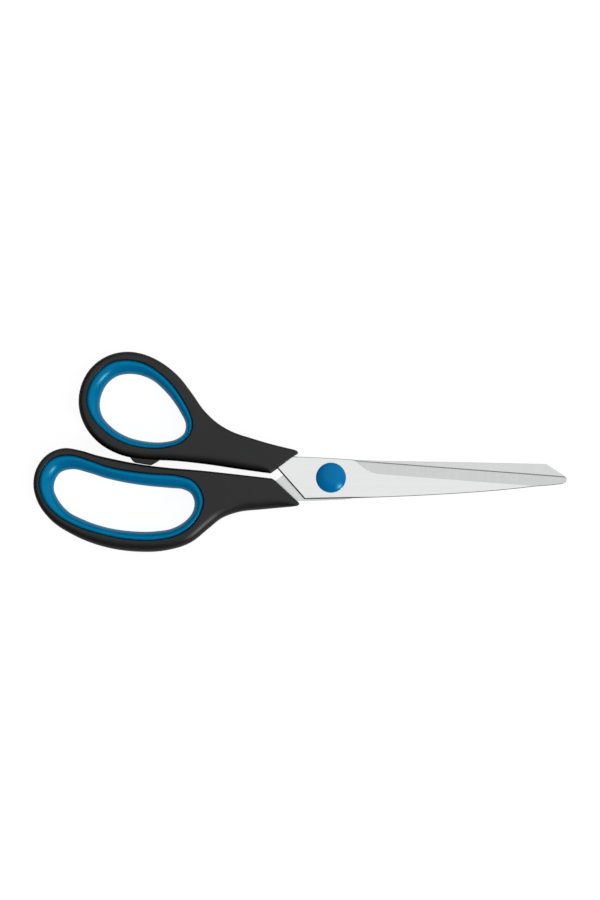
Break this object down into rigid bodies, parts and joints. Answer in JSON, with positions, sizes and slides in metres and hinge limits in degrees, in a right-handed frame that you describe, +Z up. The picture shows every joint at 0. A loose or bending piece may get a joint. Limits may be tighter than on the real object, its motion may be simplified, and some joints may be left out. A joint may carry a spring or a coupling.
{
  "type": "office scissors",
  "caption": "Straight office scissors with pointed steel blades, moulded handles, soft inner finger grips and a capped pivot.",
  "frame": {"origin": "under the middle of the closed scissors' overall outline, on the plane that they lie on", "axes": "+X to the blade tips, +Y to the thumb loop's side, +Z up from the surface, along the pivot's axis"},
  "size_m": [0.2095, 0.0787, 0.0115],
  "materials": {
    "blade_steel": "fine ground satin",
    "rivet_steel": "turned, plain",
    "handle_plastic": "fine moulded texture, satin",
    "grip_rubber": "soft satin",
    "cap_plastic": "smooth semi-gloss"
  },
  "bodies": {
    "finger_side": {"back_blade": "blade_steel", "finger_handle": "handle_plastic", "finger_grip": "grip_rubber"},
    "thumb_side": {"front_blade": "blade_steel", "thumb_handle": "handle_plastic", "thumb_grip": "grip_rubber", "pivot_rivet": "rivet_steel", "rivet_washer": "rivet_steel", "pivot_cap": "cap_plastic"}
  },
  "joints": [
    {"name": "blade_pivot", "type": "hinge", "parent": "finger_side", "child": "thumb_side", "pos_m": [0.0122, -0.0102, 0.00575], "axis": [0, 0, -1], "range_deg": [0, 100]}
  ]
}
